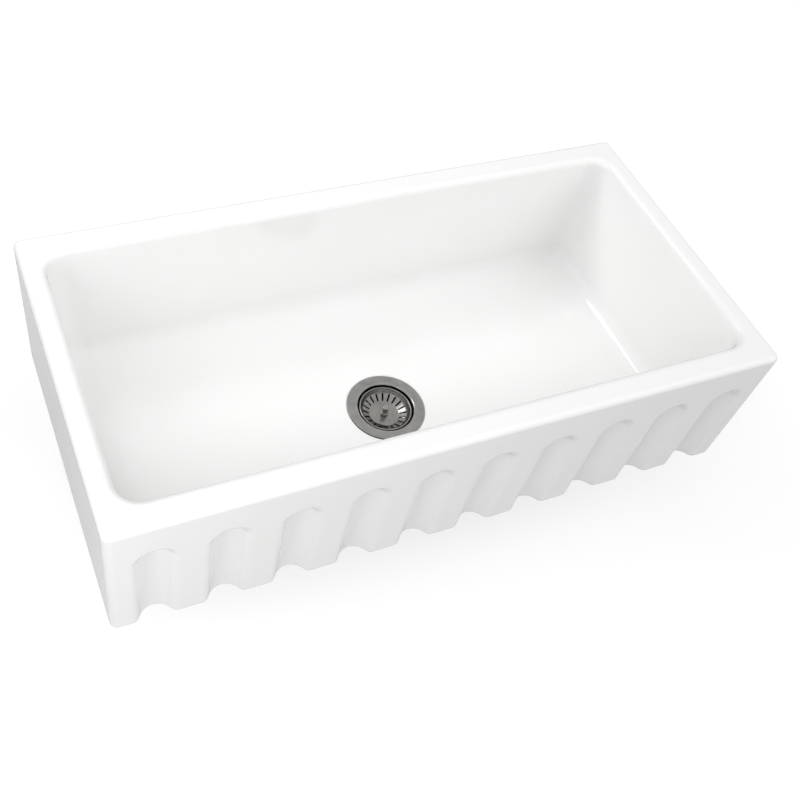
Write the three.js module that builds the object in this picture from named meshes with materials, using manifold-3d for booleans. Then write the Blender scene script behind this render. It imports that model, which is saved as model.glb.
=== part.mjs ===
// Apron-front kitchen sink: one glazed fireclay basin with a fluted front, and the
// basket strainer that is clamped through its floor.
// Millimetres. +Z is up, +X runs along the apron to the right, +Y to the back wall.
// The origin lies on the drain's axis, in the plane of the sink's flat underside.

import * as THREE from "three";
import { mergeVertices } from "three/addons/utils/BufferGeometryUtils.js";
import Module from "manifold-3d";

const wasm = await Module();
wasm.setup();

// ---- Driving dimensions ------------------------------------------------------------

// Fireclay body, outside
const SINK_WIDTH = 914;
const SINK_DEPTH = 457;
const SINK_HEIGHT = 229;
const DRAIN_FROM_FRONT = 203;
const OUTER_CORNER_RADIUS = 10;
const TOP_EDGE_RADIUS = 8;
const BOTTOM_EDGE_RADIUS = 8;

// Fireclay body, basin
const FRONT_WALL = 38;
const BACK_WALL = 38;
const SIDE_WALL = 29;
const RIM_EDGE_RADIUS = 10;
const BASIN_CORNER_RADIUS = 30;
const BASIN_FLOOR_FILLET = 25;
const SIDE_DRAFT = 15;
const FRONT_AND_BACK_DRAFT = 5;
const FLOOR_THICKNESS = 26;
const FLOOR_FALL = 6;

// Flutes of the apron: round grooves that run out at the bottom edge
const FLUTE_PITCH = 89;
const FLUTE_RADIUS = 23;
const FLUTE_GROOVE_DEPTH = 17;
const FLUTE_EDGE_RADIUS = 12;
const BAND_ABOVE_FLUTES = 49;

// Drain opening in the fireclay
const DRAIN_HOLE_RADIUS = 45;
const FLANGE_RECESS_DEPTH = 2;
const FLANGE_RECESS_CLEARANCE = 1.5;
const UNDERSIDE_RECESS_DEPTH = 4;
const UNDERSIDE_RECESS_CLEARANCE = 6;
const DRAIN_FLAT_MARGIN = 6;

// Strainer body
const FLANGE_RADIUS = 57.15;
const FLANGE_THICKNESS = 1.5;
const LIP_RADIUS = 2.5;
const CUP_RADIUS = 41.3;
const CUP_WALL = 1.7;
const SEAT_RADIUS = 25;
const SEAT_DROP = 8;
const THREAD_RUNOUT = 1.5;

// Threaded nipple, swaged into the hole in the strainer body's ledge
const OUTLET_RADIUS = 19.2;
const OUTLET_THREAD_RADIUS = 23.8;
const OUTLET_LENGTH = 16.7;
const NIPPLE_NECK_WALL = 1.8;
const NIPPLE_ROLL_RADIUS = 23;
const NIPPLE_ROLL_THICKNESS = 1;

// Seals and nuts that clamp the strainer to the floor
const FLANGE_SEAL_THICKNESS = 1.1;
const FLANGE_SEAL_WIDTH = 10;
const GASKET_THICKNESS = 3;
const GASKET_WIDTH = 12;
const FIBRE_WASHER_THICKNESS = 1.2;
const FIBRE_WASHER_WIDTH = 10.5;
const LOCK_NUT_HEIGHT = 10;
const LOCK_NUT_WIDTH = 7;
const LOCK_NUT_LUGS = 8;
const LOCK_NUT_LUG_REACH = 6;
const LOCK_NUT_LUG_WIDTH = 9;

// Crosspiece in the outlet, with the clip that grips the basket's stem
const CROSSPIECE_THICKNESS = 1.8;
const CROSSPIECE_ARM_WIDTH = 4;
const HUB_RADIUS = 7.5;
const HUB_HEIGHT = 6;
const CLIP_THICKNESS = 1.2;
const CLIP_WIDTH = 1.9;
const CLIP_OPENING_DEGREES = 50;

// Basket
const BASKET_CLEARANCE = 2.3;
const BASKET_SHEET = 1;
const BASKET_BEAD_RADIUS = 1.3;
const BASKET_RIM_DROP = 3;
const BASKET_SHOULDER_RADIUS = 34;
const BASKET_SHOULDER_DROP = 10.5;
const BASKET_FLOOR_RADIUS = 21.5;
const BASKET_FLOOR_DROP = 16.5;
const SLOT_COUNT = 20;
const SLOT_WIDTH = 2.4;
const SLOT_INNER_RADIUS = 22.3;
const SLOT_OUTER_RADIUS = 32.8;
const KNOB_FOOT_RADIUS = 6;
const KNOB_FOOT_HEIGHT = 5;
const KNOB_RADIUS = 4.6;
const KNOB_HEIGHT = 15.5;
const KNOB_EDGE_RADIUS = 1.2;
const KNOB_BORE_DEPTH = 8;
const STEM_RADIUS = 3.2;
const STEM_COLLAR_RADIUS = 6;
const STEM_COLLAR_HEIGHT = 2.5;
const STEM_TIP_LENGTH = 2;
const SLEEVE_WALL = 1.4;
const STOPPER_RADIUS = 34;
const STOPPER_THICKNESS = 3;
const STOPPER_LIP_THICKNESS = 1.4;
const STOPPER_WASHER_RADIUS = 14;
const STOPPER_WASHER_THICKNESS = 1;

// Tailpiece and its coupling
const TAILPIECE_RADIUS = 19.05;
const TAILPIECE_WALL = 1.3;
const TAILPIECE_LENGTH = 102;
const TAILPIECE_FLANGE_RADIUS = 22.8;
const TAILPIECE_FLANGE_THICKNESS = 1.5;
const TAILPIECE_WASHER_THICKNESS = 2.2;
const COUPLING_WALL = 4;
const COUPLING_GRIP = 14;
const COUPLING_LIP = 2.5;
const COUPLING_LUGS = 12;
const COUPLING_LUG_REACH = 1.6;

// Clearance between pieces that touch, and between a thread and its nut
const GAP = 0.3;

// Facets
const ROUND_STEPS = 40;
const STRAINER_STEPS = 44;
const SMALL_ROUND_STEPS = 24;
const CORNER_STEPS = 7;
const EDGE_STEPS = 3;
const FLUTE_ARC_STEPS = 10;
const FLUTE_END_STEPS = 20;

// How far a cutter reaches past the face that it cuts
const OVERCUT = 5;

// ---- Levels worked out from them ---------------------------------------------------

const frontY = -DRAIN_FROM_FRONT;
const backY = SINK_DEPTH - DRAIN_FROM_FRONT;
const halfWidth = SINK_WIDTH / 2;

const recessFloorZ = FLOOR_THICKNESS - FLANGE_RECESS_DEPTH;
const flangeSealBottomZ = recessFloorZ + GAP;
const flangeSealTopZ = flangeSealBottomZ + FLANGE_SEAL_THICKNESS;
const flangeUndersideZ = flangeSealTopZ + GAP;
const flangeTopZ = flangeUndersideZ + FLANGE_THICKNESS;

const gasketTopZ = UNDERSIDE_RECESS_DEPTH - GAP;
const gasketBottomZ = gasketTopZ - GASKET_THICKNESS;
const fibreWasherTopZ = gasketBottomZ - GAP;
const fibreWasherBottomZ = fibreWasherTopZ - FIBRE_WASHER_THICKNESS;
const lockNutTopZ = fibreWasherBottomZ - GAP;
const lockNutBottomZ = lockNutTopZ - LOCK_NUT_HEIGHT;
const cupThreadRadius = CUP_RADIUS + CUP_WALL;
const nutBoreRadius = cupThreadRadius + GAP;
const gasketOuterRadius = nutBoreRadius + GASKET_WIDTH;
const lockNutWallRadius = nutBoreRadius + LOCK_NUT_WIDTH;
const lockNutReach = lockNutWallRadius + LOCK_NUT_LUG_REACH;
const cupBottomZ = lockNutBottomZ - THREAD_RUNOUT;

const seatSlope = SEAT_DROP / (CUP_RADIUS - SEAT_RADIUS);
const seatZ = (radius) => cupBottomZ - (CUP_RADIUS - radius) * seatSlope;
const ledgeTopZ = cupBottomZ - SEAT_DROP;
const nippleRollTopZ = ledgeTopZ - CROSSPIECE_THICKNESS - 2 * GAP;
const nippleRollBottomZ = nippleRollTopZ - NIPPLE_ROLL_THICKNESS;
const ledgeZ = nippleRollBottomZ - GAP;
const ledgeUndersideZ = ledgeZ - CUP_WALL;
const outletTopZ = ledgeUndersideZ - GAP;
const nippleNeckRadius = OUTLET_RADIUS + NIPPLE_NECK_WALL;
const outletBottomZ = outletTopZ - OUTLET_LENGTH;

const basketRimRadius = CUP_RADIUS - BASKET_CLEARANCE;
const basketFloorZ = flangeTopZ - BASKET_FLOOR_DROP;
const stopperBottomZ = seatZ(STOPPER_RADIUS) + GAP;
const stopperTopZ = stopperBottomZ + STOPPER_THICKNESS;
const crosspieceTopZ = nippleRollTopZ + GAP + CROSSPIECE_THICKNESS;
const hubTopZ = crosspieceTopZ;
const hubBottomZ = hubTopZ - HUB_HEIGHT;
const stemBoreRadius = STEM_RADIUS + GAP;

// ---- Building blocks ---------------------------------------------------------------

// A closed geometry as a solid that can be joined and cut.
function solid(geometry) {
  const bare = geometry.clone();
  bare.deleteAttribute("normal");
  bare.deleteAttribute("uv");
  const merged = mergeVertices(bare, 1e-4);
  const corners = merged.index.array;
  const kept = [];
  for (let i = 0; i < corners.length; i += 3) {
    const [a, b, c] = [corners[i], corners[i + 1], corners[i + 2]];
    if (a !== b && b !== c && c !== a) kept.push(a, b, c);
  }
  const mesh = new wasm.Mesh({
    numProp: 3,
    vertProperties: merged.getAttribute("position").array,
    triVerts: new Uint32Array(kept),
  });
  return new wasm.Manifold(mesh);
}

// The same solid as a geometry that a mesh can show.
function geometryOf(manifold) {
  const mesh = manifold.getMesh();
  const geometry = new THREE.BufferGeometry();
  geometry.setAttribute("position", new THREE.BufferAttribute(mesh.vertProperties, 3));
  geometry.setIndex(new THREE.BufferAttribute(mesh.triVerts, 1));
  return geometry;
}

function joined(first, ...others) {
  return others.reduce((sum, next) => sum.add(next), first);
}

function cut(from, ...cutters) {
  return cutters.reduce((rest, cutter) => rest.subtract(cutter), from);
}

// Points of a circular arc in degrees, both ends included.
function arc(centreX, centreY, radius, from, to, steps) {
  return Array.from({ length: steps + 1 }, (_, i) => {
    const angle = THREE.MathUtils.degToRad(from + ((to - from) * i) / steps);
    return [centreX + radius * Math.cos(angle), centreY + radius * Math.sin(angle)];
  });
}

// A profile of [radius, z] points turned round the Z axis. The profile runs
// anticlockwise: up its outer side and down its inner side or the axis.
function turned(profile, steps = ROUND_STEPS) {
  const closed = [...profile, profile[0]].map(([r, z]) => new THREE.Vector2(r, z));
  const geometry = new THREE.LatheGeometry(closed, steps);
  return solid(geometry.rotateX(Math.PI / 2));
}

function ring(innerRadius, outerRadius, bottomZ, topZ, steps = ROUND_STEPS) {
  return turned(
    [
      [innerRadius, bottomZ],
      [outerRadius, bottomZ],
      [outerRadius, topZ],
      [innerRadius, topZ],
    ],
    steps,
  );
}

function block(sizeX, sizeY, bottomZ, topZ, centreX = 0, centreY = 0) {
  const geometry = new THREE.BoxGeometry(sizeX, sizeY, topZ - bottomZ);
  return solid(geometry.translate(centreX, centreY, (bottomZ + topZ) / 2));
}

// A skin over level sections, bottom to top. Each section is { z, outline }, and the
// outlines run anticlockwise with the same number of points.
function lofted(sections) {
  const count = sections[0].outline.length;
  const positions = sections.flatMap(({ z, outline }) => outline.flatMap(([x, y]) => [x, y, z]));
  const faces = [];
  for (let level = 0; level + 1 < sections.length; level++) {
    for (let i = 0; i < count; i++) {
      const next = (i + 1) % count;
      const [a, b] = [level * count + i, level * count + next];
      faces.push(a, b, b + count, a, b + count, a + count);
    }
  }
  const cap = (section) => {
    const contour = section.outline.map(([x, y]) => new THREE.Vector2(x, y));
    return THREE.ShapeUtils.triangulateShape(contour, []);
  };
  const top = (sections.length - 1) * count;
  cap(sections[0]).forEach(([a, b, c]) => faces.push(c, b, a));
  cap(sections[sections.length - 1]).forEach(([a, b, c]) => faces.push(top + a, top + b, top + c));
  const geometry = new THREE.BufferGeometry();
  geometry.setAttribute("position", new THREE.Float32BufferAttribute(positions, 3));
  geometry.setIndex(faces);
  return solid(geometry);
}

// A rectangle with round corners, anticlockwise from the right end of its back side.
function roundedRectangle({ left, right, front, back }, radius) {
  const [west, east] = [left + radius, right - radius];
  const [south, north] = [front + radius, back - radius];
  return [
    ...arc(east, north, radius, 0, 90, CORNER_STEPS),
    ...arc(west, north, radius, 90, 180, CORNER_STEPS),
    ...arc(west, south, radius, 180, 270, CORNER_STEPS),
    ...arc(east, south, radius, 270, 360, CORNER_STEPS),
  ];
}

function inset(rectangle, x, y = x) {
  return {
    left: rectangle.left + x,
    right: rectangle.right - x,
    front: rectangle.front + y,
    back: rectangle.back - y,
  };
}

// The quarter-round steps of an edge: how far each lies in from the side face, and
// how far from the level face.
function edgeSteps(radius, steps) {
  return arc(radius, radius, radius, 270, 180, steps);
}

// ---- Sink body ---------------------------------------------------------------------

const outside = { left: -halfWidth, right: halfWidth, front: frontY, back: backY };

function outerBlock() {
  const section = (in_, z) => ({
    z,
    outline: roundedRectangle(inset(outside, in_), OUTER_CORNER_RADIUS - in_),
  });
  const bottom = edgeSteps(BOTTOM_EDGE_RADIUS, EDGE_STEPS).map(([in_, up]) => section(in_, up));
  const top = edgeSteps(TOP_EDGE_RADIUS, EDGE_STEPS + 1)
    .reverse()
    .map(([in_, down]) => section(in_, SINK_HEIGHT - down));
  return lofted([...bottom, ...top]);
}

// The basin: a round flat at the drain, a floor that falls to it from all sides, a
// large fillet, walls that lean out a little, and a rounded edge at the rim.
function basinCutter() {
  const rim = {
    left: outside.left + SIDE_WALL,
    right: outside.right - SIDE_WALL,
    front: outside.front + FRONT_WALL,
    back: outside.back - BACK_WALL,
  };
  const foot = inset(rim, SIDE_DRAFT, FRONT_AND_BACK_DRAFT);
  const flatRadius = FLANGE_RADIUS + FLANGE_RECESS_CLEARANCE + DRAIN_FLAT_MARGIN;
  const drainFlat = {
    left: -flatRadius,
    right: flatRadius,
    front: -flatRadius,
    back: flatRadius,
  };
  const floorZ = FLOOR_THICKNESS + FLOOR_FALL;
  const fillet = edgeSteps(BASIN_FLOOR_FILLET, 2 * EDGE_STEPS).map(([in_, up]) => ({
    z: floorZ + up,
    outline: roundedRectangle(inset(foot, in_), BASIN_CORNER_RADIUS - in_),
  }));
  const rimEdge = edgeSteps(RIM_EDGE_RADIUS, EDGE_STEPS + 1)
    .reverse()
    .map(([out, down]) => ({
      z: SINK_HEIGHT - down,
      outline: roundedRectangle(inset(rim, -out), BASIN_CORNER_RADIUS + out),
    }));
  const mouth = { z: SINK_HEIGHT + OVERCUT, outline: rimEdge[rimEdge.length - 1].outline };
  const drainSection = {
    z: FLOOR_THICKNESS,
    outline: roundedRectangle(drainFlat, flatRadius),
  };
  return lofted([drainSection, ...fillet, ...rimEdge, mouth]);
}

// The drain's hole, the recess that takes the flange, and a recess underneath that
// takes the gasket and leaves room for the lock nut.
function drainCutter() {
  const hole = ring(0, DRAIN_HOLE_RADIUS, -OVERCUT, FLOOR_THICKNESS + OVERCUT);
  const recessRadius = FLANGE_RADIUS + FLANGE_RECESS_CLEARANCE;
  const recess = ring(0, recessRadius, recessFloorZ, FLOOR_THICKNESS + OVERCUT);
  const widestBelow = Math.max(gasketOuterRadius, lockNutReach);
  const lowerRadius = widestBelow + UNDERSIDE_RECESS_CLEARANCE;
  const lowerRecess = ring(0, lowerRadius, -OVERCUT, UNDERSIDE_RECESS_DEPTH);
  return joined(hole, recess, lowerRecess);
}

// Where the flute's groove and its rounded edge meet, measured from the flute's
// middle. The groove's centre line lies in front of the apron's face.
const grooveCentre = FLUTE_RADIUS - FLUTE_GROOVE_DEPTH;
const grooveToEdge = FLUTE_RADIUS + FLUTE_EDGE_RADIUS;
const fluteHalfWidth = Math.sqrt(grooveToEdge ** 2 - (grooveCentre + FLUTE_EDGE_RADIUS) ** 2);
const grooveHalfAngle = THREE.MathUtils.radToDeg(Math.asin(fluteHalfWidth / grooveToEdge));

// Half of a flute's level section, from its deepest point to the apron's face, as
// [sideways, inwards] points. A wider groove by growth makes the rounded bottom edge.
function halfGroove(growth) {
  const groove = arc(
    0,
    -grooveCentre,
    FLUTE_RADIUS + growth,
    90,
    90 - grooveHalfAngle,
    FLUTE_ARC_STEPS / 2,
  );
  const edge = arc(
    fluteHalfWidth,
    FLUTE_EDGE_RADIUS,
    FLUTE_EDGE_RADIUS - growth,
    270 - grooveHalfAngle,
    270,
    EDGE_STEPS,
  );
  return [...groove, ...edge.slice(1)];
}

// One flute's cutter: the groove from the bottom edge up to the springing of its
// arch, and the same half section turned about the arch's centre.
function fluteCutter(centreX, springingZ) {
  const section = (growth, z) => {
    const half = halfGroove(growth);
    const right = half.map(([x, y]) => [centreX + x, frontY + y]);
    const left = half.slice(1).map(([x, y]) => [centreX - x, frontY + y]);
    const outer = [
      [centreX - fluteHalfWidth, frontY - OVERCUT],
      [centreX + fluteHalfWidth, frontY - OVERCUT],
    ];
    return { z, outline: [...outer, ...right.reverse(), ...left] };
  };
  const foot = edgeSteps(BOTTOM_EDGE_RADIUS, EDGE_STEPS).map(([in_, up]) => section(in_, up));
  const below = { z: -OVERCUT, outline: foot[0].outline };
  const shaft = lofted([below, ...foot, section(0, springingZ)]);
  const archProfile = [...halfGroove(0).reverse(), [0, -OVERCUT], [fluteHalfWidth, -OVERCUT]];
  const arch = new THREE.LatheGeometry(
    [...archProfile, archProfile[0]].map(([r, y]) => new THREE.Vector2(r, y)),
    FLUTE_END_STEPS,
    Math.PI / 2,
  );
  arch.translate(centreX, frontY, springingZ);
  return joined(shaft, solid(arch));
}

function flutes() {
  const land = FLUTE_PITCH - 2 * fluteHalfWidth;
  const cornerRoom = 2 * (OUTER_CORNER_RADIUS + GAP);
  const count = Math.floor((SINK_WIDTH + land - cornerRoom) / FLUTE_PITCH);
  const springingZ = SINK_HEIGHT - BAND_ABOVE_FLUTES - fluteHalfWidth;
  return Array.from({ length: count }, (_, i) => {
    const centreX = (i - (count - 1) / 2) * FLUTE_PITCH;
    return fluteCutter(centreX, springingZ);
  });
}

function sinkBody() {
  return cut(outerBlock(), basinCutter(), drainCutter(), ...flutes());
}

// ---- Strainer body and what clamps it ----------------------------------------------

// Pressed steel: a flange with a rolled lip, a straight threaded cup, a conical seat
// for the stopper, and a ledge with a hole for the threaded nipple.
function strainerBody() {
  const ledgeHoleRadius = nippleNeckRadius + GAP;
  const flangeEdge = FLANGE_THICKNESS / 2;
  const flangeEdgeX = FLANGE_RADIUS - flangeEdge;
  const outer = [
    [ledgeHoleRadius, ledgeUndersideZ],
    [SEAT_RADIUS + CUP_WALL, ledgeUndersideZ],
    [SEAT_RADIUS + CUP_WALL, ledgeTopZ],
    [cupThreadRadius, cupBottomZ],
    [cupThreadRadius, flangeUndersideZ],
  ];
  const edge = arc(flangeEdgeX, flangeTopZ - flangeEdge, flangeEdge, -90, 90, EDGE_STEPS);
  const lip = arc(
    CUP_RADIUS + LIP_RADIUS,
    flangeTopZ - LIP_RADIUS,
    LIP_RADIUS,
    90,
    180,
    EDGE_STEPS,
  );
  const inner = [
    [CUP_RADIUS, cupBottomZ],
    [SEAT_RADIUS, ledgeTopZ],
    [SEAT_RADIUS, ledgeZ],
    [ledgeHoleRadius, ledgeZ],
  ];
  return turned([...outer, ...edge, ...lip, ...inner], STRAINER_STEPS);
}

// The threaded brass outlet. Its neck passes up through the ledge and is rolled over
// on top of it, and the crosspiece lies on the roll.
function outletNipple() {
  return turned([
    [OUTLET_RADIUS, outletBottomZ],
    [OUTLET_THREAD_RADIUS, outletBottomZ],
    [OUTLET_THREAD_RADIUS, outletTopZ],
    [nippleNeckRadius, outletTopZ],
    [nippleNeckRadius, nippleRollBottomZ],
    [NIPPLE_ROLL_RADIUS, nippleRollBottomZ],
    [NIPPLE_ROLL_RADIUS, nippleRollTopZ],
    [OUTLET_RADIUS, nippleRollTopZ],
  ]);
}

function flangeSeal() {
  const outerRadius = FLANGE_RADIUS - GAP;
  return ring(outerRadius - FLANGE_SEAL_WIDTH, outerRadius, flangeSealBottomZ, flangeSealTopZ);
}

function rubberGasket() {
  return ring(nutBoreRadius, gasketOuterRadius, gasketBottomZ, gasketTopZ);
}

function fibreWasher() {
  const outerRadius = nutBoreRadius + FIBRE_WASHER_WIDTH;
  return ring(nutBoreRadius, outerRadius, fibreWasherBottomZ, fibreWasherTopZ);
}

// Equal lugs round a nut, as blocks that start inside its wall.
function lugs(count, wallRadius, reach, width, bottomZ, topZ) {
  const length = 2 * reach;
  return Array.from({ length: count }, (_, i) => {
    const lug = block(length, width, bottomZ, topZ, wallRadius);
    return lug.rotate([0, 0, (360 * i) / count]);
  });
}

function lockNut() {
  const body = ring(nutBoreRadius, lockNutWallRadius, lockNutBottomZ, lockNutTopZ);
  return joined(
    body,
    ...lugs(
      LOCK_NUT_LUGS,
      lockNutWallRadius,
      LOCK_NUT_LUG_REACH,
      LOCK_NUT_LUG_WIDTH,
      lockNutBottomZ,
      lockNutTopZ,
    ),
  );
}

// A cross of two flat bars with a grooved hub at its middle. The hub's groove holds
// the clip, and the bars lie on the rolled end of the nipple.
function crosspiece() {
  const reach = 2 * (SEAT_RADIUS - GAP);
  const bottomZ = crosspieceTopZ - CROSSPIECE_THICKNESS;
  const bar = block(reach, CROSSPIECE_ARM_WIDTH, bottomZ, crosspieceTopZ);
  const rounding = ring(0, SEAT_RADIUS - GAP, bottomZ, crosspieceTopZ);
  const hub = ring(0, HUB_RADIUS, hubBottomZ, hubTopZ, SMALL_ROUND_STEPS);
  const bars = joined(bar, bar.rotate([0, 0, 90])).intersect(rounding);
  const throat = STEM_RADIUS + 2 * GAP;
  const grooveRadius = stemBoreRadius + CLIP_WIDTH + GAP;
  const grooveBottomZ = (hubBottomZ + hubTopZ - CLIP_THICKNESS) / 2 - GAP;
  const grooveTopZ = grooveBottomZ + CLIP_THICKNESS + 2 * GAP;
  const bore = ring(0, throat, hubBottomZ - OVERCUT, hubTopZ + OVERCUT, SMALL_ROUND_STEPS);
  const groove = ring(0, grooveRadius, grooveBottomZ, grooveTopZ, SMALL_ROUND_STEPS);
  return cut(joined(bars, hub), bore, groove);
}

// An open snap ring, which grips the stem and turns with it in the hub's groove.
function catchClip() {
  const shape = new THREE.Shape();
  const half = THREE.MathUtils.degToRad(CLIP_OPENING_DEGREES / 2);
  shape.absarc(0, 0, stemBoreRadius + CLIP_WIDTH, half, -half, false);
  shape.absarc(0, 0, stemBoreRadius, -half, half, true);
  const geometry = new THREE.ExtrudeGeometry(shape, {
    depth: CLIP_THICKNESS,
    bevelEnabled: false,
    curveSegments: SMALL_ROUND_STEPS,
  });
  return solid(geometry.translate(0, 0, (hubBottomZ + hubTopZ - CLIP_THICKNESS) / 2));
}

// ---- Basket ------------------------------------------------------------------------

// A pressed bowl with a bead at its rim, a plain band, a slotted cone and a flat
// middle with a hole for the stem.
function basketBowl() {
  const rimZ = flangeTopZ - BASKET_RIM_DROP;
  const beadX = basketRimRadius - BASKET_BEAD_RADIUS;
  const beadZ = rimZ - BASKET_BEAD_RADIUS;
  const shoulderZ = flangeTopZ - BASKET_SHOULDER_DROP;
  const holeRadius = stemBoreRadius;
  const bead = arc(beadX, beadZ, BASKET_BEAD_RADIUS, -100, 190, CORNER_STEPS + 1);
  const bowl = turned([
    [holeRadius, basketFloorZ - BASKET_SHEET],
    [BASKET_FLOOR_RADIUS, basketFloorZ - BASKET_SHEET],
    [BASKET_SHOULDER_RADIUS, shoulderZ - BASKET_SHEET],
    [BASKET_SHOULDER_RADIUS + BASKET_SHEET, shoulderZ],
    ...bead,
    [BASKET_SHOULDER_RADIUS, shoulderZ],
    [BASKET_SHOULDER_RADIUS - BASKET_SHEET, shoulderZ],
    [BASKET_FLOOR_RADIUS, basketFloorZ],
    [holeRadius, basketFloorZ],
  ]);
  const slot = new THREE.Shape();
  const halfSlot = SLOT_WIDTH / 2;
  slot.absarc(SLOT_INNER_RADIUS + halfSlot, 0, halfSlot, Math.PI / 2, (3 * Math.PI) / 2, false);
  slot.absarc(SLOT_OUTER_RADIUS - halfSlot, 0, halfSlot, -Math.PI / 2, Math.PI / 2, false);
  const depth = BASKET_FLOOR_DROP + BASKET_SHEET;
  const slotGeometry = new THREE.ExtrudeGeometry(slot, {
    depth,
    bevelEnabled: false,
    curveSegments: 2,
  });
  const slotCutter = solid(slotGeometry.translate(0, 0, basketFloorZ - BASKET_SHEET - GAP));
  const slots = Array.from({ length: SLOT_COUNT }, (_, i) =>
    slotCutter.rotate([0, 0, (360 * i) / SLOT_COUNT]),
  );
  return cut(bowl, ...slots);
}

const knobBottomZ = basketFloorZ + GAP;
const knobTopZ = knobBottomZ + KNOB_HEIGHT;

// A slim grip on a wider foot, with a blind bore for the stem.
function basketKnob() {
  const footTopZ = knobBottomZ + KNOB_FOOT_HEIGHT;
  const edge = (radius, z) =>
    arc(radius - KNOB_EDGE_RADIUS, z - KNOB_EDGE_RADIUS, KNOB_EDGE_RADIUS, 0, 90, EDGE_STEPS);
  return turned(
    [
      [stemBoreRadius, knobBottomZ],
      [KNOB_FOOT_RADIUS, knobBottomZ],
      ...edge(KNOB_FOOT_RADIUS, footTopZ),
      [KNOB_RADIUS, footTopZ],
      ...edge(KNOB_RADIUS, knobTopZ),
      [0, knobTopZ],
      [0, knobBottomZ + KNOB_BORE_DEPTH],
      [stemBoreRadius, knobBottomZ + KNOB_BORE_DEPTH],
    ],
    SMALL_ROUND_STEPS,
  );
}

const stopperWasherTopZ = stopperBottomZ - GAP;
const stopperWasherBottomZ = stopperWasherTopZ - STOPPER_WASHER_THICKNESS;
const collarTopZ = stopperWasherBottomZ - GAP;
const collarBottomZ = collarTopZ - STEM_COLLAR_HEIGHT;

// A shoulder screw: it runs from the knob's bore down through the bowl, the sleeve
// and the stopper. Its collar carries them, and its tip reaches through the clip.
function basketStem() {
  const tipBottomZ = hubBottomZ - STEM_TIP_LENGTH;
  const topZ = knobBottomZ + KNOB_BORE_DEPTH - GAP;
  return turned(
    [
      [0, tipBottomZ],
      [STEM_RADIUS - KNOB_EDGE_RADIUS, tipBottomZ],
      [STEM_RADIUS, tipBottomZ + KNOB_EDGE_RADIUS],
      [STEM_RADIUS, collarBottomZ],
      [STEM_COLLAR_RADIUS, collarBottomZ],
      [STEM_COLLAR_RADIUS, collarTopZ],
      [STEM_RADIUS, collarTopZ],
      [STEM_RADIUS, topZ],
      [0, topZ],
    ],
    SMALL_ROUND_STEPS,
  );
}

function stemSleeve() {
  const bottomZ = stopperTopZ + GAP;
  const topZ = basketFloorZ - BASKET_SHEET - GAP;
  return ring(stemBoreRadius, stemBoreRadius + SLEEVE_WALL, bottomZ, topZ, SMALL_ROUND_STEPS);
}

// A rubber disc with a thin lip that closes on the strainer body's conical seat.
function stopper() {
  const lipSlope = STOPPER_THICKNESS - STOPPER_LIP_THICKNESS;
  return turned([
    [stemBoreRadius, stopperBottomZ],
    [STOPPER_RADIUS, stopperBottomZ],
    [STOPPER_RADIUS, stopperBottomZ + STOPPER_LIP_THICKNESS],
    [STOPPER_RADIUS - 2 * lipSlope, stopperTopZ],
    [stemBoreRadius, stopperTopZ],
  ]);
}

function stopperWasher() {
  return ring(
    stemBoreRadius,
    STOPPER_WASHER_RADIUS,
    stopperWasherBottomZ,
    stopperWasherTopZ,
    SMALL_ROUND_STEPS,
  );
}

// ---- Tailpiece and coupling --------------------------------------------------------

const tailWasherTopZ = outletBottomZ - GAP;
const tailWasherBottomZ = tailWasherTopZ - TAILPIECE_WASHER_THICKNESS;
const tailpieceTopZ = tailWasherBottomZ - GAP;
const tailFlangeBottomZ = tailpieceTopZ - TAILPIECE_FLANGE_THICKNESS;

function tailpieceWasher() {
  const inner = TAILPIECE_RADIUS - TAILPIECE_WALL;
  return ring(inner, OUTLET_THREAD_RADIUS - GAP, tailWasherBottomZ, tailWasherTopZ);
}

function tailpiece() {
  const inner = TAILPIECE_RADIUS - TAILPIECE_WALL;
  const bottomZ = tailpieceTopZ - TAILPIECE_LENGTH;
  return turned([
    [inner, bottomZ],
    [TAILPIECE_RADIUS, bottomZ],
    [TAILPIECE_RADIUS, tailFlangeBottomZ],
    [TAILPIECE_FLANGE_RADIUS, tailFlangeBottomZ],
    [TAILPIECE_FLANGE_RADIUS, tailpieceTopZ],
    [inner, tailpieceTopZ],
  ]);
}

// The nut runs on the outlet's thread, and its lip draws the tailpiece's flange up.
function couplingNut() {
  const inner = OUTLET_THREAD_RADIUS + GAP;
  const outer = inner + COUPLING_WALL;
  const lipTopZ = tailFlangeBottomZ - GAP;
  const bottomZ = lipTopZ - COUPLING_LIP;
  const topZ = outletBottomZ + COUPLING_GRIP;
  const body = turned([
    [TAILPIECE_RADIUS + GAP, bottomZ],
    [outer, bottomZ],
    [outer, topZ],
    [inner, topZ],
    [inner, lipTopZ],
    [TAILPIECE_RADIUS + GAP, lipTopZ],
  ]);
  const ribWidth = COUPLING_LUG_REACH * 2;
  return joined(
    body,
    ...lugs(COUPLING_LUGS, outer, COUPLING_LUG_REACH, ribWidth, bottomZ, topZ),
  );
}

// ---- Materials and assembly --------------------------------------------------------

const finishes = {
  glaze: { color: 0xf1f1ef, roughness: 0.12, metalness: 0 },
  brushed: { color: 0x9b9995, roughness: 0.35, metalness: 1 },
  polished: { color: 0xa8a7a4, roughness: 0.15, metalness: 1 },
  rubber: { color: 0x1e1e1f, roughness: 0.75, metalness: 0 },
  fibre: { color: 0xb08d5e, roughness: 0.9, metalness: 0 },
  plated: { color: 0xb9b7b0, roughness: 0.28, metalness: 1 },
  brass: { color: 0xb59a5e, roughness: 0.3, metalness: 1 },
  nylon: { color: 0xe6e4dc, roughness: 0.5, metalness: 0 },
};

function mesh(name, manifold, finish) {
  const piece = new THREE.Mesh(
    geometryOf(manifold),
    new THREE.MeshStandardMaterial(finishes[finish]),
  );
  piece.name = name;
  return piece;
}

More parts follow.
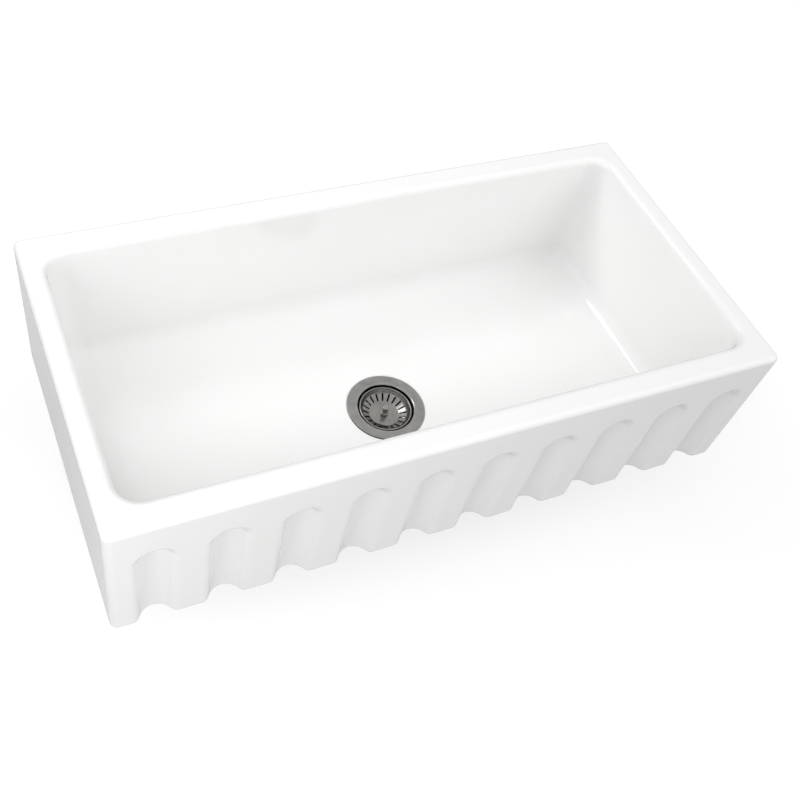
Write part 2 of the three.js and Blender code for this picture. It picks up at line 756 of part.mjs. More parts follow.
function group(name, ...children) {
  const parent = new THREE.Group();
  parent.name = name;
  parent.add(...children);
  return parent;
}

const strainer = group(
  "strainer",
  mesh("strainer_body", strainerBody(), "brushed"),
  mesh("outlet_nipple", outletNipple(), "brass"),
  mesh("crosspiece", crosspiece(), "brushed"),
  mesh("flange_seal", flangeSeal(), "rubber"),
  mesh("rubber_gasket", rubberGasket(), "rubber"),
  mesh("fibre_washer", fibreWasher(), "fibre"),
  mesh("lock_nut", lockNut(), "plated"),
);

const waste = group(
  "waste",
  mesh("tailpiece_washer", tailpieceWasher(), "nylon"),
  mesh("tailpiece", tailpiece(), "plated"),
  mesh("coupling_nut", couplingNut(), "plated"),
);

const basket = group(
  "basket",
  mesh("catch_clip", catchClip(), "polished"),
  mesh("basket_bowl", basketBowl(), "polished"),
  mesh("basket_knob", basketKnob(), "polished"),
  mesh("basket_stem", basketStem(), "polished"),
  mesh("stem_sleeve", stemSleeve(), "nylon"),
  mesh("stopper", stopper(), "rubber"),
  mesh("stopper_washer", stopperWasher(), "polished"),
);

export default group(
  "apron_front_sink",
  mesh("sink_body", sinkBody(), "glaze"),
  strainer,
  waste,
  basket,
);
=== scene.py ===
"""Apron-front kitchen sink: a glazed fireclay basin with a fluted front and its basket strainer."""

import math

import bmesh
import bpy
from mathutils import Matrix, Vector


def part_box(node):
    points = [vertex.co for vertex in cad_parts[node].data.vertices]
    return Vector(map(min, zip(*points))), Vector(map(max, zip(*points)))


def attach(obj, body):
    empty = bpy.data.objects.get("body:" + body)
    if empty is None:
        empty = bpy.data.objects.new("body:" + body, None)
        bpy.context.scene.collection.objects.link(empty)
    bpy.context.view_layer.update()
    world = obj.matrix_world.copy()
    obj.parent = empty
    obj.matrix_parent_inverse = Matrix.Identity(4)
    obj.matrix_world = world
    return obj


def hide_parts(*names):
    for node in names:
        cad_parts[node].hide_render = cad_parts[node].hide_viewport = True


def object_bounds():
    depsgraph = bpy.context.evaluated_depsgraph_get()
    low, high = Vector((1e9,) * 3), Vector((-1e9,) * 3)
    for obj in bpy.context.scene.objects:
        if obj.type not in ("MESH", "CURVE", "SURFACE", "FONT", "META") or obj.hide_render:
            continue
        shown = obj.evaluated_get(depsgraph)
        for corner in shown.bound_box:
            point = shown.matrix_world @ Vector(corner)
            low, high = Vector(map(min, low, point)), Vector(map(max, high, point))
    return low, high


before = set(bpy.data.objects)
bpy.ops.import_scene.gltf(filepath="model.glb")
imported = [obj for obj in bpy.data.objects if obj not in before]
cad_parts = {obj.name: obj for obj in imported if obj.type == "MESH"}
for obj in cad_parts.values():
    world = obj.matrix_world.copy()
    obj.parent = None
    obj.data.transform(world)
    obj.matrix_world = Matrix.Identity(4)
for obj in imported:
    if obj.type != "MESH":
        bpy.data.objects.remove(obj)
cad_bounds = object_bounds()


# ---- Camera ----------------------------------------------------------------------------
# The sink is seen from above its left front corner, as by someone who stands beside it
# and looks down into the basin. The camera is held a little askew.

MM = 0.001
camera_place = Vector((-537.4, -709.8, 1159.6)) * MM
camera_heading = math.radians(-32.2)
camera_tilt = math.radians(36.7)
camera_roll = math.radians(12.84)

camera_data = bpy.data.cameras.new("camera")
camera_data.lens = 44.51
camera_data.sensor_width = 36.0
camera_data.shift_x = 0.0882
camera_data.shift_y = 0.0227
camera = bpy.data.objects.new("camera", camera_data)
camera.matrix_world = (
    Matrix.Translation(camera_place)
    @ Matrix.Rotation(camera_heading, 4, "Z")
    @ Matrix.Rotation(camera_tilt, 4, "X")
    @ Matrix.Rotation(camera_roll, 4, "Z")
)
bpy.context.scene.collection.objects.link(camera)
bpy.context.scene.camera = camera


# ---- Fireclay body ---------------------------------------------------------------------
# One slip-cast fireclay body under a thick white glaze, heavy enough to stand on the
# cabinet by its own weight. The mould gives it the ten flutes of the apron, and the glaze
# rounds every edge.


def linear(hex_colour):
    """An sRGB colour such as #f4f3f0 as the linear colour that a shader takes."""
    channels = [int(hex_colour[i : i + 2], 16) / 255 for i in (1, 3, 5)]
    return [c / 12.92 if c <= 0.04045 else ((c + 0.055) / 1.055) ** 2.4 for c in channels] + [1.0]


def add_node(material, kind, values=None, links=None, **settings):
    """A new node: values and links by socket, a link as (node, output), settings by attribute."""
    node = material.node_tree.nodes.new(kind)
    for attribute, setting in settings.items():
        setattr(node, attribute, setting)
    for socket, value in (values or {}).items():
        node.inputs[socket].default_value = value
    for socket, (source, output) in (links or {}).items():
        material.node_tree.links.new(source.outputs[output], node.inputs[socket])
    return node


def new_material(name):
    """An empty node material."""
    material = bpy.data.materials.new(name)
    material.use_nodes = True
    material.node_tree.nodes.clear()
    return material


def white_glaze():
    """Glossy white glaze on fireclay: a clear glassy coat over an opaque white body. It is
    poured, so reflections waver a little over a hand's width and over a few millimetres."""
    body_white = "#f7f7f7"
    pooled_white = "#f5f5f4"
    sag_size = 90 * MM
    sag_height = 0.10 * MM
    peel_size = 7 * MM
    peel_height = 0.004 * MM
    material = new_material("white_glaze_on_fireclay")
    place = add_node(material, "ShaderNodeTexCoord")
    sag = add_node(
        material,
        "ShaderNodeTexNoise",
        values={"Scale": 1 / sag_size, "Detail": 1.0, "Roughness": 0.4},
        links={"Vector": (place, "Object")},
    )
    peel = add_node(
        material,
        "ShaderNodeTexNoise",
        values={"Scale": 1 / peel_size, "Detail": 2.0, "Roughness": 0.5},
        links={"Vector": (place, "Object")},
    )
    colour = add_node(
        material,
        "ShaderNodeMix",
        values={6: linear(body_white), 7: linear(pooled_white)},
        links={0: (sag, "Fac")},
        data_type="RGBA",
    )
    gloss = add_node(
        material,
        "ShaderNodeMapRange",
        values={"To Min": 0.03, "To Max": 0.07},
        links={"Value": (sag, "Fac")},
    )
    sag_bump = add_node(
        material,
        "ShaderNodeBump",
        values={"Strength": 1.0, "Distance": sag_height},
        links={"Height": (sag, "Fac")},
    )
    peel_bump = add_node(
        material,
        "ShaderNodeBump",
        values={"Strength": 1.0, "Distance": peel_height},
        links={"Height": (peel, "Fac"), "Normal": (sag_bump, "Normal")},
    )
    shader = add_node(
        material,
        "ShaderNodeBsdfPrincipled",
        values={"IOR": 1.52},
        links={
            "Base Color": (colour, 2),
            "Roughness": (gloss, "Result"),
            "Normal": (peel_bump, "Normal"),
        },
    )
    add_node(material, "ShaderNodeOutputMaterial", links={"Surface": (shader, "BSDF")})
    return material


def edges_at(bm, test):
    """The edges whose two ends both pass a test on their place."""
    return [edge for edge in bm.edges if all(test(vert.co) for vert in edge.verts)]


def round_edges(bm, edges, radius, segments):
    """Rounds edges to a radius."""
    bmesh.ops.bevel(
        bm,
        geom=edges,
        offset=radius,
        offset_type="OFFSET",
        segments=segments,
        profile=0.5,
        affect="EDGES",
        material=-1,
    )


def combined(operation, body, *others):
    """One mesh with others cut out of it (DIFFERENCE) or joined to it (UNION)."""
    for other in others:
        pair = []
        for bm in (body, other):
            mesh = bpy.data.meshes.new("working")
            bm.to_mesh(mesh)
            bm.free()
            pair.append(bpy.data.objects.new("working", mesh))
            bpy.context.scene.collection.objects.link(pair[-1])
        modifier = pair[0].modifiers.new("combine", "BOOLEAN")
        modifier.operation = operation
        modifier.solver = "EXACT"
        modifier.object = pair[1]
        graph = bpy.context.evaluated_depsgraph_get()
        body = bmesh.new()
        body.from_mesh(pair[0].evaluated_get(graph).data)
        for working in pair:
            mesh = working.data
            bpy.data.objects.remove(working)
            bpy.data.meshes.remove(mesh)
    return body


def finished(bm, name, material):
    """The mesh as a smooth object with its material. Large faces keep their own normals, so
    that flats stay flat beside their rounded edges."""
    mesh = bpy.data.meshes.new(name)
    bm.to_mesh(mesh)
    bm.free()
    mesh.shade_smooth()
    mesh.materials.clear()
    mesh.materials.append(material)
    piece = bpy.data.objects.new(name, mesh)
    bpy.context.scene.collection.objects.link(piece)
    flats = piece.modifiers.new("flats", "WEIGHTED_NORMAL")
    flats.weight = 100
    return piece


def moved_geometry(result):
    """The vertices among what an operator made."""
    return [item for item in result["geom"] if isinstance(item, bmesh.types.BMVert)]


sink_low, sink_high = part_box("sink_body")
front_wall = 38 * MM
back_wall = 38 * MM
side_wall = 29 * MM
side_draft = 15 * MM
front_draft = 5 * MM
rim_edge = 10 * MM
basin_corner = 30 * MM
floor_fillet = 25 * MM
outer_corner = 10 * MM
top_edge = 8 * MM
bottom_edge = 8 * MM
floor_level = 26 * MM
floor_fall = 6 * MM
fall_reach = 300 * MM
floor_cell = 30 * MM
drain_hole = 45 * MM
flange_recess = 58.65 * MM
flange_recess_level = 24 * MM
drain_flat = flange_recess + 6 * MM
lower_recess = 62.3 * MM
lower_recess_level = 4 * MM
flute_pitch = 89 * MM
flute_count = 10
groove_radius = 23 * MM
groove_depth = 17 * MM
groove_edge = 12 * MM
arch_top_level = sink_high.z - 49 * MM
overshoot = 20 * MM
tiny = 0.001 * MM


def outer_block():
    """The casting's outside, before flutes and basin."""
    bm = bmesh.new()
    bmesh.ops.create_cube(bm, size=1)
    bmesh.ops.scale(bm, vec=sink_high - sink_low, verts=bm.verts)
    bmesh.ops.translate(bm, vec=(sink_high + sink_low) / 2, verts=bm.verts)
    upright = [e for e in bm.edges if abs(e.verts[0].co.z - e.verts[1].co.z) > sink_high.z / 2]
    round_edges(bm, upright, outer_corner, 8)
    return bm


def flute_cutters():
    """The rounded grooves that run up the apron, each with a domed top. Half a section is
    swung round for the dome, and the whole section is drawn down past the bottom edge."""
    centre_line = groove_radius - groove_depth
    half_width = math.sqrt(
        (groove_radius + groove_edge) ** 2 - (centre_line + groove_edge) ** 2
    )
    half_angle = math.asin(half_width / (groove_radius + groove_edge))
    springing = arch_top_level - half_width
    clear_of_front = sink_low.y - overshoot
    bm = bmesh.new()
    deepest = bm.verts.new((0, sink_low.y + groove_depth, springing))
    end = deepest
    arcs = (
        (Vector((0, sink_low.y - centre_line, springing)), -half_angle, 14),
        (Vector((half_width, sink_low.y + groove_edge, springing)), half_angle, 10),
    )
    for centre, angle, steps in arcs:
        swung = bmesh.ops.spin(
            bm, geom=[end], cent=centre, axis=(0, 0, 1), angle=angle, steps=steps
        )
        end = next(g for g in swung["geom_last"] if isinstance(g, bmesh.types.BMVert))
    outer_corner_vert = bm.verts.new((half_width, clear_of_front, springing))
    axis_vert = bm.verts.new((0, clear_of_front, springing))
    for pair in ((end, outer_corner_vert), (outer_corner_vert, axis_vert), (axis_vert, deepest)):
        bm.edges.new(pair)
    bmesh.ops.contextual_create(bm, geom=bm.edges[:])
    bmesh.ops.spin(
        bm,
        geom=bm.faces[:],
        cent=(0, 0, springing),
        axis=(0, 1, 0),
        angle=-math.pi,
        steps=36,
    )
    bmesh.ops.remove_doubles(bm, verts=bm.verts, dist=tiny)
    section = [f for f in bm.faces if all(abs(v.co.z - springing) < tiny for v in f.verts)]
    drawn = bmesh.ops.extrude_face_region(bm, geom=section)
    bmesh.ops.translate(bm, vec=(0, 0, -springing - overshoot), verts=moved_geometry(drawn))
    bmesh.ops.delete(bm, geom=section, context="FACES")
    bmesh.ops.recalc_face_normals(bm, faces=bm.faces)
    first_x = -(flute_count - 1) / 2 * flute_pitch
    bmesh.ops.translate(bm, vec=(first_x, 0, 0), verts=bm.verts)
    one = bm.faces[:]
    for number in range(1, flute_count):
        copy = bmesh.ops.duplicate(bm, geom=one)
        bmesh.ops.translate(bm, vec=(number * flute_pitch, 0, 0), verts=moved_geometry(copy))
    return bm


def basin_cutter():
    """The basin: drafted walls with round corners, a filleted floor that falls to the drain,
    and a mouth that flares out into the rim's rounded edge."""
    wide = sink_high.x - sink_low.x - 2 * side_wall
    deep = sink_high.y - sink_low.y - front_wall - back_wall
    middle_y = (sink_low.y + front_wall + sink_high.y - back_wall) / 2
    foot_z = floor_level + floor_fall
    wall_top = sink_high.z - rim_edge
    bm = bmesh.new()
    bmesh.ops.create_cube(bm, size=1)
    bmesh.ops.scale(bm, vec=(wide, deep, wall_top - foot_z), verts=bm.verts)
    foot = [v for v in bm.verts if v.co.z < 0]
    foot_scale = ((wide - 2 * side_draft) / wide, (deep - 2 * front_draft) / deep, 1)
    bmesh.ops.scale(bm, vec=foot_scale, verts=foot)
    bmesh.ops.translate(bm, vec=(0, middle_y, (wall_top + foot_z) / 2), verts=bm.verts)
    upright = [e for e in bm.edges if abs(e.verts[0].co.z - e.verts[1].co.z) > sink_high.z / 2]
    round_edges(bm, upright, basin_corner, 12)
    round_edges(bm, edges_at(bm, lambda p: p.z < foot_z + tiny), floor_fillet, 10)
    mouth = max(bm.faces, key=lambda f: f.calc_center_median().z)
    steps = 8
    out, up = 0.0, 0.0
    for step in range(1, steps + 1):
        angle = math.pi / 2 * step / steps
        next_out, next_up = rim_edge * (1 - math.cos(angle)), rim_edge * math.sin(angle)
        bmesh.ops.inset_region(
            bm,
            faces=[mouth],
            thickness=out - next_out,
            depth=next_up - up,
            use_even_offset=True,
            use_boundary=True,
        )
        out, up = next_out, next_up
    raised = bmesh.ops.extrude_face_region(bm, geom=[mouth])
    bmesh.ops.translate(bm, vec=(0, 0, rim_edge), verts=moved_geometry(raised))
    bmesh.ops.delete(bm, geom=[mouth], context="FACES")
    floor = min(bm.faces, key=lambda f: f.calc_center_median().z)
    for edge in [e for e in floor.edges if e.calc_length() > floor_fillet]:
        cuts = round(edge.calc_length() / floor_cell)
        bmesh.ops.subdivide_edges(bm, edges=[edge], cuts=cuts)
    floor = min(bm.faces, key=lambda f: f.calc_center_median().z)
    floor_edges = floor.edges[:]
    bmesh.ops.delete(bm, geom=[floor], context="FACES_ONLY")
    circle = bmesh.ops.create_circle(
        bm,
        cap_ends=True,
        segments=len(floor_edges),
        radius=drain_flat,
        matrix=Matrix.Translation((0, 0, floor_level)),
    )
    circle_edges = list({e for v in circle["verts"] for e in v.link_edges})
    bridge = bmesh.ops.bridge_loops(bm, edges=floor_edges + circle_edges)
    spokes = bmesh.ops.subdivide_edges(bm, edges=bridge["edges"], cuts=16, use_grid_fill=True)
    half_wide = wide / 2 - side_draft - floor_fillet
    half_deep = deep / 2 - front_draft - floor_fillet
    for vert in {g for g in spokes["geom_inner"] if isinstance(g, bmesh.types.BMVert)}:
        across = vert.co.x / half_wide
        along = (vert.co.y - middle_y) / half_deep
        from_wall = (1 - across**2) * (1 - along**2)
        from_drain = (vert.co.xy.length - drain_flat) / fall_reach
        vert.co.z = foot_z - floor_fall * from_wall / (from_wall + from_drain)
    bmesh.ops.recalc_face_normals(bm, faces=bm.faces)
    return bm


def cylinder(radius, low_z, high_z, segments=96):
    """An upright cylinder on the drain's axis."""
    bm = bmesh.new()
    bmesh.ops.create_cone(
        bm,
        cap_ends=True,
        segments=segments,
        radius1=radius,
        radius2=radius,
        depth=high_z - low_z,
        matrix=Matrix.Translation((0, 0, (low_z + high_z) / 2)),
    )
    return bm


body_mesh = combined("DIFFERENCE", outer_block(), flute_cutters())
outer_bottom = edges_at(body_mesh, lambda p: p.z < sink_low.z + tiny)
round_edges(body_mesh, outer_bottom, bottom_edge, 6)
outer_top = edges_at(body_mesh, lambda p: p.z > sink_high.z - tiny)
round_edges(body_mesh, outer_top, top_edge, 8)
body_mesh = combined(
    "DIFFERENCE",
    body_mesh,
    basin_cutter(),
    cylinder(drain_hole, -rim_edge, 2 * floor_level),
    cylinder(flange_recess, flange_recess_level, 2 * floor_level),
    cylinder(lower_recess, -rim_edge, lower_recess_level),
)
fireclay_body = finished(body_mesh, "fireclay_body", white_glaze())
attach(fireclay_body, "root")
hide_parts("sink_body")


# ---- Seals under the flange and the floor ----------------------------------------------
# Black rubber rings, moulded and matt. One fills the recess under the flange, and the
# thicker one is squeezed against the sink's underside. The fibre washer below it lets the
# lock nut turn without twisting the rubber.


def grained(name, light, dark, grain, roughness, height):
    """A plain non-metal with a fine grain: light and dark are its two colours."""
    material = new_material(name)
    place = add_node(material, "ShaderNodeTexCoord")
    noise = add_node(
        material,
        "ShaderNodeTexNoise",
        values={"Scale": 1 / grain, "Detail": 4.0, "Roughness": 0.6},
        links={"Vector": (place, "Object")},
    )
    colour = add_node(
        material,
        "ShaderNodeMix",
        values={6: linear(dark), 7: linear(light)},
        links={0: (noise, "Fac")},
        data_type="RGBA",
    )
    bump = add_node(
        material,
        "ShaderNodeBump",
        values={"Strength": 1.0, "Distance": height},
        links={"Height": (noise, "Fac")},
    )
    shader = add_node(
        material,
        "ShaderNodeBsdfPrincipled",
        values={"Roughness": roughness},
        links={"Base Color": (colour, 2), "Normal": (bump, "Normal")},
    )
    add_node(material, "ShaderNodeOutputMaterial", links={"Surface": (shader, "BSDF")})
    return material


def turned(outline, steps=96):
    """A closed outline of (radius, height, rounding) corners turned round the drain's axis."""
    bm = bmesh.new()
    corners = [bm.verts.new((radius, 0, height)) for radius, height, rounding in outline]
    for start, end in zip(corners, corners[1:] + corners[:1]):
        bm.edges.new((start, end))
    roundings = [rounding for radius, height, rounding in outline]
    for rounding in sorted(set(roundings) - {0}):
        bmesh.ops.bevel(
            bm,
            geom=[c for c, own in zip(corners, roundings) if own == rounding],
            offset=rounding,
            offset_type="OFFSET",
            segments=4,
            profile=0.5,
            affect="VERTICES",
            material=-1,
        )
    bmesh.ops.spin(
        bm,
        geom=bm.verts[:] + bm.edges[:],
        cent=(0, 0, 0),
        axis=(0, 0, 1),
        angle=2 * math.pi,
        steps=steps,
        use_merge=True,
    )
    bmesh.ops.remove_doubles(bm, verts=bm.verts, dist=tiny)
    bmesh.ops.recalc_face_normals(bm, faces=bm.faces)
    return bm


def plain_ring(node, inner_radius, rounding):
    """A ring as wide and high as a node of the frame, with its own hole."""
    low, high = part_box(node)
    return turned(
        [
            (inner_radius, low.z, rounding),
            (high.x, low.z, rounding),
            (high.x, high.z, rounding),
            (inner_radius, high.z, rounding),
        ]
    )


rubber = grained("black_moulded_rubber", "#2b2b2c", "#1c1c1d", 0.8 * MM, 0.7, 0.02 * MM)
fibre = grained("pressed_fibre", "#a9855a", "#8a6a45", 1.5 * MM, 0.85, 0.05 * MM)
nut_bore = 43.3 * MM
rings = (
    ("flange_seal", "seal_ring", 46.85 * MM, 0.3 * MM, rubber, "black_rubber"),
    ("rubber_gasket", "gasket_ring", nut_bore, 0.8 * MM, rubber, "black_rubber"),
    ("fibre_washer", "fibre_ring", nut_bore, 0.2 * MM, fibre, "pressed_fibre"),
)
for node, name, inner_radius, rounding, material, slot in rings:
    ring = finished(plain_ring(node, inner_radius, rounding), name, material)
    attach(ring, "root")
    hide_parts(node)


# ---- Strainer body ---------------------------------------------------------------------
# Pressed from stainless sheet. The flange is brushed in rings, its lip is polished where
# it rolls into the cup, and the cup narrows to the stopper's seat and a ledge.


def ringed_steel(name, tone, dark_tone, polished_inside, brushed_roughness, polished_roughness):
    """Stainless steel finished on a lathe: fine rings round the drain's axis outside one
    radius, polished inside it. Real brush lines are 0.1 mm apart, and 1 mm shows here."""
    ring_spacing = 1.1 * MM
    ring_height = 0.012 * MM
    stain_size = 14 * MM
    material = new_material(name)
    place = add_node(material, "ShaderNodeTexCoord")
    flattened = add_node(
        material,
        "ShaderNodeVectorMath",
        values={1: (1.0, 1.0, 0.0)},
        links={0: (place, "Object")},
        operation="MULTIPLY",
    )
    radius = add_node(
        material, "ShaderNodeVectorMath", links={0: (flattened, "Vector")}, operation="LENGTH"
    )
    lines = add_node(
        material,
        "ShaderNodeTexNoise",
        values={"Scale": 1 / ring_spacing, "Detail": 3.0, "Roughness": 0.7},
        links={"W": (radius, "Value")},
        noise_dimensions="1D",
    )
    stains = add_node(
        material,
        "ShaderNodeTexNoise",
        values={"Scale": 1 / stain_size, "Detail": 3.0, "Roughness": 0.6},
        links={"Vector": (place, "Object")},
    )
    brushed = add_node(
        material,
        "ShaderNodeMath",
        values={1: polished_inside},
        links={0: (radius, "Value")},
        operation="GREATER_THAN",
    )
    line_share = add_node(
        material,
        "ShaderNodeMath",
        links={0: (lines, "Fac"), 1: (brushed, "Value")},
        operation="MULTIPLY",
    )
    shade = add_node(
        material,
        "ShaderNodeMath",
        values={1: 0.5},
        links={0: (line_share, "Value"), 2: (stains, "Fac")},
        operation="MULTIPLY_ADD",
    )
    colour = add_node(
        material,
        "ShaderNodeMix",
        values={6: linear(tone), 7: linear(dark_tone)},
        links={0: (shade, "Value")},
        data_type="RGBA",
    )
    roughness = add_node(
        material,
        "ShaderNodeMapRange",
        values={"To Min": polished_roughness, "To Max": brushed_roughness},
        links={"Value": (brushed, "Value")},
    )
    bump = add_node(
        material,
        "ShaderNodeBump",
        values={"Strength": 1.0, "Distance": ring_height},
        links={"Height": (line_share, "Value")},
    )
    shader = add_node(
        material,
        "ShaderNodeBsdfPrincipled",
        values={"Metallic": 1.0},
        links={
            "Base Color": (colour, 2),
            "Roughness": (roughness, "Result"),
            "Normal": (bump, "Normal"),
        },
    )
    add_node(material, "ShaderNodeOutputMaterial", links={"Surface": (shader, "BSDF")})
    return material


strainer_low, strainer_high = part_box("strainer_body")
flange_radius = strainer_high.x
flange_top = strainer_high.z
flange_bottom = flange_top - 1.5 * MM
cup_radius = 41.3 * MM
cup_wall = 1.7 * MM
cup_bottom = flange_top - 39.8 * MM
seat_radius = 25 * MM
seat_bottom = cup_bottom - 8 * MM
ledge = strainer_low.z + cup_wall
ledge_hole = 21.3 * MM
crisp = 0.3 * MM
strainer_outline = [
    (ledge_hole, strainer_low.z, crisp),
    (seat_radius + cup_wall, strainer_low.z, 1 * MM),
    (seat_radius + cup_wall, seat_bottom, 1 * MM),
    (cup_radius + cup_wall, cup_bottom, 1 * MM),
    (cup_radius + cup_wall, flange_bottom, 0),
    (flange_radius, flange_bottom, crisp),
    (flange_radius, flange_top, 1 * MM),
    (cup_radius, flange_top, 2.5 * MM),
    (cup_radius, cup_bottom, 1 * MM),
    (seat_radius, seat_bottom, crisp),
    (seat_radius, ledge, crisp),
    (ledge_hole, ledge, crisp),
]
strainer_steel = ringed_steel(
    "brushed_stainless_flange", "#adacaa", "#82817f", cup_radius + 2.6 * MM, 0.34, 0.13
)
strainer_facets = 128
strainer_shell = finished(
    turned(strainer_outline, strainer_facets), "strainer_shell", strainer_steel
)
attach(strainer_shell, "root")
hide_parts("strainer_body")


# ---- Outlet nipple ---------------------------------------------------------------------
# Turned brass. Its neck is rolled over on the strainer's ledge, and the thread below takes
# the tailpiece's nut.


def plain_metal(name, tone, roughness, blotch, dark_tone):
    """A metal with a slightly uneven tone and finish: blotch is the size of the patches."""
    material = new_material(name)
    place = add_node(material, "ShaderNodeTexCoord")
    patches = add_node(
        material,
        "ShaderNodeTexNoise",
        values={"Scale": 1 / blotch, "Detail": 3.0, "Roughness": 0.6},
        links={"Vector": (place, "Object")},
    )
    colour = add_node(
        material,
        "ShaderNodeMix",
        values={6: linear(tone), 7: linear(dark_tone)},
        links={0: (patches, "Fac")},
        data_type="RGBA",
    )
    finish = add_node(
        material,
        "ShaderNodeMapRange",
        values={"To Min": roughness * 0.8, "To Max": roughness * 1.25},
        links={"Value": (patches, "Fac")},
    )
    shader = add_node(
        material,
        "ShaderNodeBsdfPrincipled",
        values={"Metallic": 1.0},
        links={"Base Color": (colour, 2), "Roughness": (finish, "Result")},
    )
    add_node(material, "ShaderNodeOutputMaterial", links={"Surface": (shader, "BSDF")})
    return material


nipple_low, nipple_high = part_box("outlet_nipple")
outlet_radius = 19.2 * MM
outlet_thread = nipple_high.x
neck_radius = 21 * MM
roll_radius = 23 * MM
roll_bottom = nipple_high.z - 1 * MM
thread_clearance = 0.3 * MM
thread_top = strainer_low.z - thread_clearance
thread_depth = 0.9 * MM
thread_turns = 7
thread_pitch = (thread_top - nipple_low.z) / thread_turns
thread = []
for turn in range(thread_turns):
    foot = nipple_low.z + turn * thread_pitch
    thread.append((outlet_thread - thread_depth, foot, 0))
    thread.append((outlet_thread, foot + thread_pitch / 2, 0))
nipple_outline = [
    *thread,
    (outlet_thread - thread_depth, thread_top, 0),
    (neck_radius, thread_top, 0),
    (neck_radius, roll_bottom, 0),
    (roll_radius, roll_bottom, crisp),
    (roll_radius, nipple_high.z, 0.4 * MM),
    (outlet_radius, nipple_high.z, 0.4 * MM),
    (outlet_radius, nipple_low.z, crisp),
]
brass = plain_metal("turned_brass", "#c2a86c", 0.28, 6 * MM, "#a58c55")
threaded_nipple = finished(turned(nipple_outline), "threaded_nipple", brass)
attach(threaded_nipple, "root")
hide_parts("outlet_nipple")


# ---- Crosspiece and snap ring ----------------------------------------------------------
# A stamped stainless cross lies on the nipple's rolled end. A snap ring of spring wire sits
# in its hub and grips the basket's stem.

stamped_steel = plain_metal("stamped_stainless", "#a9a7a3", 0.3, 6 * MM, "#8b8986")
spring_steel = plain_metal("drawn_spring_steel", "#8f8f90", 0.25, 3 * MM, "#6f6f70")
for node, material in (("crosspiece", stamped_steel), ("catch_clip", spring_steel)):
    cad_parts[node].data.materials.clear()
    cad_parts[node].data.materials.append(material)


# ---- Lock nut --------------------------------------------------------------------------
# A zinc-plated ring nut with lugs for the fitting tool. It runs on the cup's thread and
# clamps the strainer to the sink's floor.

nut_low, nut_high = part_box("lock_nut")
nut_wall = 50.3 * MM
lug_width = 9 * MM
lug_count = 8
nut_mesh = turned(
    [
        (nut_bore, nut_low.z, 1 * MM),
        (nut_wall, nut_low.z, 1 * MM),
        (nut_wall, nut_high.z, 1 * MM),
        (nut_bore, nut_high.z, 1 * MM),
    ]
)


def repeat_round_axis(bm, count):
    """Copies all that a mesh holds, to equal places round the drain's axis."""
    one = bm.faces[:]
    for number in range(1, count):
        copy = bmesh.ops.duplicate(bm, geom=one)
        bmesh.ops.rotate(
            bm,
            cent=(0, 0, 0),
            matrix=Matrix.Rotation(2 * math.pi * number / count, 3, "Z"),
            verts=moved_geometry(copy),
        )


def outward_lugs(count, start_radius, end_radius, width, low_z, high_z, rounding):
    """Equal blocks that stand out from a ring, with rounded edges."""
    lugs = bmesh.new()
    bmesh.ops.create_cube(lugs, size=1)
    size = (end_radius - start_radius, width, high_z - low_z)
    centre = ((start_radius + end_radius) / 2, 0, (low_z + high_z) / 2)
    bmesh.ops.scale(lugs, vec=size, verts=lugs.verts)
    bmesh.ops.translate(lugs, vec=centre, verts=lugs.verts)
    round_edges(lugs, lugs.edges[:], rounding, 3)
    repeat_round_axis(lugs, count)
    return lugs


nut_lugs = outward_lugs(
    lug_count, nut_wall - 2 * MM, nut_high.x, lug_width, nut_low.z, nut_high.z - tiny, 1.2 * MM
)
zinc = plain_metal("zinc_plated_steel", "#c9c6bd", 0.38, 5 * MM, "#a29f97")
ring_nut = finished(combined("UNION", nut_mesh, nut_lugs), "ring_nut", zinc)
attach(ring_nut, "root")
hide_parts("lock_nut")


# ---- Basket ----------------------------------------------------------------------------
# Drawn from thin stainless sheet, polished. A bead stiffens its rim, the sides are plain,
# and the slots are punched through the cone round its flat middle.

bowl_low, bowl_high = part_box("basket_bowl")
bowl_rim = bowl_high.x
bowl_top = bowl_high.z
sheet = 1 * MM
bowl_floor = bowl_low.z + sheet
bead = 2.6 * MM
shoulder_radius = 34 * MM
shoulder = bowl_floor + 6 * MM
bowl_floor_radius = 21.5 * MM
stem_hole = 3.5 * MM
slot_count = 20
slot_width = 2.4 * MM
slot_inner = 22.3 * MM
slot_outer = 32.8 * MM
bowl_facets = 120

bowl_mesh = turned(
    [
        (stem_hole, bowl_low.z, 0),
        (bowl_floor_radius, bowl_low.z, 1.2 * MM),
        (shoulder_radius + sheet, shoulder - sheet, 1.5 * MM),
        (bowl_rim - bead / 2, bowl_top - bead, 0),
        (bowl_rim, bowl_top - bead, 1.2 * MM),
        (bowl_rim, bowl_top, 1.2 * MM),
        (bowl_rim - bead, bowl_top, 1.2 * MM),
        (bowl_rim - bead, bowl_top - 0.7 * bead, 0.3 * MM),
        (shoulder_radius - sheet, shoulder, 1.5 * MM),
        (bowl_floor_radius, bowl_floor, 1.2 * MM),
        (stem_hole, bowl_floor, 0),
    ],
    bowl_facets,
)


def slot_cutters():
    """Upright bars with round ends, one for each slot. The rounding stops just short of half
    the width, so that the ends keep their two sides apart."""
    bm = bmesh.new()
    low_z, high_z = bowl_low.z - sheet, shoulder + sheet
    bmesh.ops.create_cube(bm, size=1)
    bmesh.ops.scale(bm, vec=(slot_outer - slot_inner, slot_width, high_z - low_z), verts=bm.verts)
    centre = ((slot_outer + slot_inner) / 2, 0, (low_z + high_z) / 2)
    bmesh.ops.translate(bm, vec=centre, verts=bm.verts)
    upright = [e for e in bm.edges if abs(e.verts[0].co.z - e.verts[1].co.z) > sheet]
    round_edges(bm, upright, slot_width / 2 * 0.98, 4)
    repeat_round_axis(bm, slot_count)
    return bm


